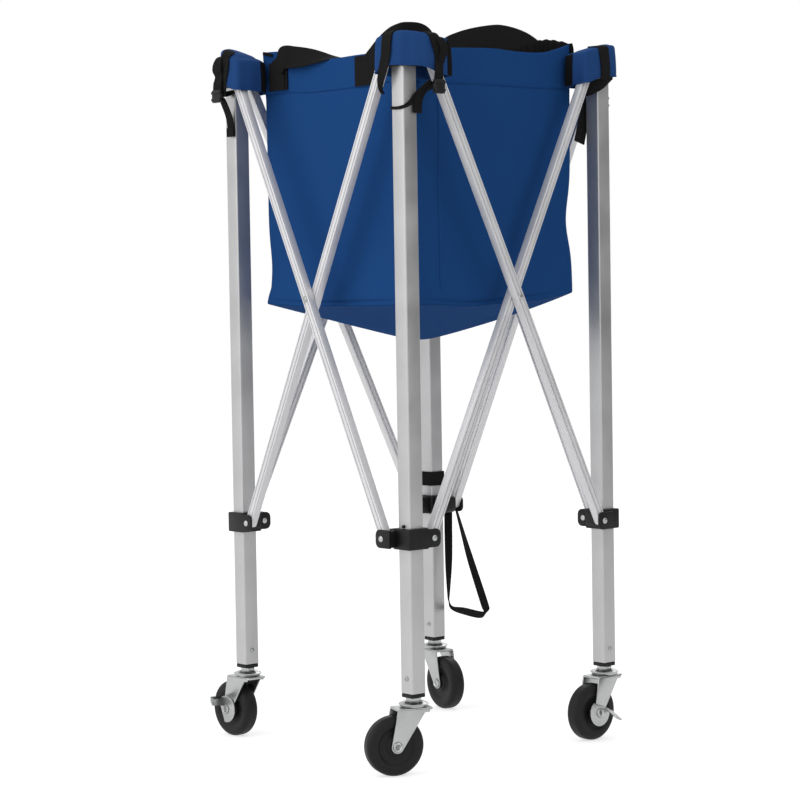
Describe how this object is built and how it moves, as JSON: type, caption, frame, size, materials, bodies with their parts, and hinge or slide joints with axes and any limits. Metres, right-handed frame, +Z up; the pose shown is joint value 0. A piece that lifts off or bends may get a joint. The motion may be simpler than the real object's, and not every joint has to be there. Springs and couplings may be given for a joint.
{
  "type": "ball basket",
  "caption": "Folding ball basket: a square cloth bag hung in an aluminium scissor frame on swivel casters, for carrying and feeding tennis or padel balls.",
  "frame": {"origin": "on the floor, under the middle of the basket's outline seen from above", "axes": "+Z up; +X and +Y point out of the two faces that meet at the right-hand leg, so the front leg is at +X -Y"},
  "size_m": [0.4458, 0.4338, 0.964],
  "materials": {
    "aluminium": "satin anodised",
    "black_plastic": "moulded, satin",
    "zinc_steel": "zinc plated",
    "black_rubber": "satin",
    "blue_cloth": "woven polyester",
    "black_webbing": "woven webbing"
  },
  "bodies": {
    "back_fork": {"axle_back": "zinc_steel", "fork_back": "zinc_steel"},
    "front_fork": {"axle_front": "zinc_steel", "fork_front": "zinc_steel"},
    "left_fork": {"axle_left": "zinc_steel", "fork_left": "zinc_steel"},
    "right_fork": {"axle_right": "zinc_steel", "fork_right": "zinc_steel"},
    "front_leg": {"bag": "blue_cloth", "bag_handle_back": "black_webbing", "bag_handle_front": "black_webbing", "caster_stem_front": "zinc_steel", "corner_hood_front": "blue_cloth", "foot_plug_front": "black_plastic", "leg_tube_front": "aluminium", "plug_screw_front": "zinc_steel", "top_bracket_front": "black_plastic"},
    "left_brake": {"brake_lever_left": "zinc_steel"},
    "right_brake": {"brake_lever_right": "zinc_steel"},
    "back_slider": {"carry_strap": "black_webbing", "slider_back": "black_plastic"},
    "back_leg": {"caster_stem_back": "zinc_steel", "corner_hood_back": "blue_cloth", "foot_plug_back": "black_plastic", "leg_tube_back": "aluminium", "plug_screw_back": "zinc_steel", "top_bracket_back": "black_plastic"},
    "left_leg": {"caster_stem_left": "zinc_steel", "corner_hood_left": "blue_cloth", "foot_plug_left": "black_plastic", "leg_tube_left": "aluminium", "plug_screw_left": "zinc_steel", "top_bracket_left": "black_plastic"},
    "right_leg": {"caster_stem_right": "zinc_steel", "corner_hood_right": "blue_cloth", "foot_plug_right": "black_plastic", "leg_tube_right": "aluminium", "plug_screw_right": "zinc_steel", "top_bracket_right": "black_plastic"},
    "back_left_outer_bar": {"centre_rivet_back_left": "zinc_steel", "outer_bar_back_left": "aluminium"},
    "front_right_outer_bar": {"centre_rivet_front_right": "zinc_steel", "outer_bar_front_right": "aluminium"},
    "left_front_outer_bar": {"centre_rivet_left_front": "zinc_steel", "outer_bar_left_front": "aluminium"},
    "right_back_outer_bar": {"centre_rivet_right_back": "zinc_steel", "outer_bar_right_back": "aluminium"},
    "back_left_inner_bar": {"inner_bar_back_left": "aluminium"},
    "front_right_inner_bar": {"inner_bar_front_right": "aluminium"},
    "left_front_inner_bar": {"inner_bar_left_front": "aluminium"},
    "right_back_inner_bar": {"inner_bar_right_back": "aluminium"},
    "front_slider": {"slider_front": "black_plastic"},
    "left_slider": {"slider_left": "black_plastic"},
    "right_slider": {"slider_right": "black_plastic"},
    "back_button": {"stop_button_back": "zinc_steel"},
    "front_button": {"stop_button_front": "zinc_steel"},
    "back_wheel": {"wheel_back": "black_rubber"},
    "front_wheel": {"wheel_front": "black_rubber"},
    "left_wheel": {"wheel_left": "black_rubber"},
    "right_wheel": {"wheel_right": "black_rubber"}
  },
  "joints": [
    {"name": "fold", "type": "hinge", "parent": "front_leg", "child": "front_right_outer_bar", "pos_m": [0.19582, -0.13071, 0.8895], "axis": [-1, 0, 0], "range_deg": [0, 20.7], "deforming": ["bag", "bag_handle_front", "bag_handle_back"]},
    {"name": "front_right_crossing", "type": "hinge", "parent": "front_right_outer_bar", "child": "front_right_inner_bar", "pos_m": [0.19582, 0.01479, 0.5915], "axis": [1, 0, 0], "range_deg": [0, 41.8]},
    {"name": "right_leg_top", "type": "hinge", "parent": "front_right_inner_bar", "child": "right_leg", "pos_m": [0.18172, 0.16029, 0.8895], "axis": [-1, 0, 0], "range_deg": [0, 21.1]},
    {"name": "front_slider_pivot", "type": "hinge", "parent": "front_right_inner_bar", "child": "front_slider", "pos_m": [0.18172, -0.13071, 0.2935], "axis": [-1, 0, 0], "range_deg": [0, 21.1]},
    {"name": "right_slider_pivot", "type": "hinge", "parent": "front_right_outer_bar", "child": "right_slider", "pos_m": [0.18172, 0.16029, 0.2935], "axis": [1, 0, 0], "range_deg": [0, 21.1]},
    {"name": "left_front_inner_top", "type": "hinge", "parent": "front_leg", "child": "left_front_inner_bar", "pos_m": [0.15722, -0.15771, 0.8895], "axis": [0, -1, 0], "range_deg": [0, 21.1]},
    {"name": "left_front_crossing", "type": "hinge", "parent": "left_front_inner_bar", "child": "left_front_outer_bar", "pos_m": [0.01172, -0.16931, 0.5915], "axis": [0, 1, 0], "range_deg": [0, 41.8]},
    {"name": "left_leg_top", "type": "hinge", "parent": "left_front_outer_bar", "child": "left_leg", "pos_m": [-0.13378, -0.15521, 0.8895], "axis": [0, -1, 0], "range_deg": [0, 21.1]},
    {"name": "left_slider_pivot", "type": "hinge", "parent": "left_front_inner_bar", "child": "left_slider", "pos_m": [-0.13378, -0.15521, 0.2935], "axis": [0, 1, 0], "range_deg": [0, 21.1]},
    {"name": "right_back_outer_top", "type": "hinge", "parent": "right_leg", "child": "right_back_outer_bar", "pos_m": [0.15722, 0.19889, 0.8895], "axis": [0, -1, 0], "range_deg": [0, 21.1]},
    {"name": "right_back_crossing", "type": "hinge", "parent": "right_back_outer_bar", "child": "right_back_inner_bar", "pos_m": [0.01172, 0.19889, 0.5915], "axis": [0, 1, 0], "range_deg": [0, 41.8]},
    {"name": "back_leg_top", "type": "hinge", "parent": "right_back_inner_bar", "child": "back_leg", "pos_m": [-0.13378, 0.18479, 0.8895], "axis": [0, -1, 0], "range_deg": [0, 21.1]},
    {"name": "back_slider_pivot", "type": "hinge", "parent": "right_back_outer_bar", "child": "back_slider", "pos_m": [-0.13378, 0.18479, 0.2935], "axis": [0, 1, 0], "range_deg": [0, 21.1]},
    {"name": "back_left_outer_top", "type": "hinge", "parent": "back_leg", "child": "back_left_outer_bar", "pos_m": [-0.17238, 0.16029, 0.8895], "axis": [1, 0, 0], "range_deg": [0, 21.1]},
    {"name": "back_left_inner_top", "type": "hinge", "parent": "left_leg", "child": "back_left_inner_bar", "pos_m": [-0.16078, -0.13071, 0.8895], "axis": [-1, 0, 0], "range_deg": [0, 21.1]},
    {"name": "front_caster_swivel", "type": "hinge", "parent": "front_leg", "child": "front_fork", "pos_m": [0.18172, -0.15521, 0.0842], "axis": [0, 0, 1], "continuous": true},
    {"name": "front_wheel_spin", "type": "hinge", "parent": "front_fork", "child": "front_wheel", "pos_m": [0.17205, -0.18042, 0.0375], "axis": [0.9336, -0.3584, 0], "continuous": true},
    {"name": "right_caster_swivel", "type": "hinge", "parent": "right_leg", "child": "right_fork", "pos_m": [0.18172, 0.18479, 0.0842], "axis": [0, 0, 1], "continuous": true},
    {"name": "right_wheel_spin", "type": "hinge", "parent": "right_fork", "child": "right_wheel", "pos_m": [0.18219, 0.15779, 0.0375], "axis": [0.9998, 0.0175, 0], "continuous": true},
    {"name": "right_brake", "type": "hinge", "parent": "right_fork", "child": "right_brake", "pos_m": [0.18219, 0.15779, 0.0375], "axis": [-0.9998, -0.0175, 0], "range_deg": [0, 25]},
    {"name": "back_caster_swivel", "type": "hinge", "parent": "back_leg", "child": "back_fork", "pos_m": [-0.15828, 0.18479, 0.0842], "axis": [0, 0, 1], "continuous": true},
    {"name": "back_wheel_spin", "type": "hinge", "parent": "back_fork", "child": "back_wheel", "pos_m": [-0.13161, 0.18056, 0.0375], "axis": [0.1564, 0.9877, 0], "continuous": true},
    {"name": "left_caster_swivel", "type": "hinge", "parent": "left_leg", "child": "left_fork", "pos_m": [-0.15828, -0.15521, 0.0842], "axis": [0, 0, 1], "continuous": true},
    {"name": "left_wheel_spin", "type": "hinge", "parent": "left_fork", "child": "left_wheel", "pos_m": [-0.18526, -0.15616, 0.0375], "axis": [0.0349, -0.9994, 0], "continuous": true},
    {"name": "left_brake", "type": "hinge", "parent": "left_fork", "child": "left_brake", "pos_m": [-0.18526, -0.15616, 0.0375], "axis": [0.0349, -0.9994, 0], "range_deg": [0, 25]},
    {"name": "front_stop_button", "type": "slide", "parent": "front_leg", "child": "front_button", "axis": [0, 1, 0], "range_m": [0, 0.003], "stiffness_N_per_m": 250},
    {"name": "back_stop_button", "type": "slide", "parent": "back_leg", "child": "back_button", "axis": [0, -1, 0], "range_m": [0, 0.003], "stiffness_N_per_m": 250}
  ],
  "couplings": [
    {"joint": "front_right_crossing", "follows": "fold", "ratio": 2},
    {"joint": "right_leg_top", "follows": "fold", "ratio": 1},
    {"joint": "front_slider_pivot", "follows": "fold", "ratio": 1},
    {"joint": "right_slider_pivot", "follows": "fold", "ratio": 1},
    {"joint": "left_front_inner_top", "follows": "fold", "ratio": 1},
    {"joint": "left_front_crossing", "follows": "fold", "ratio": 2},
    {"joint": "left_leg_top", "follows": "fold", "ratio": 1},
    {"joint": "left_slider_pivot", "follows": "fold", "ratio": 1},
    {"joint": "right_back_outer_top", "follows": "fold", "ratio": 1},
    {"joint": "right_back_crossing", "follows": "fold", "ratio": 2},
    {"joint": "back_leg_top", "follows": "fold", "ratio": 1},
    {"joint": "back_slider_pivot", "follows": "fold", "ratio": 1},
    {"joint": "back_left_outer_top", "follows": "fold", "ratio": 1},
    {"joint": "back_left_inner_top", "follows": "fold", "ratio": 1}
  ]
}
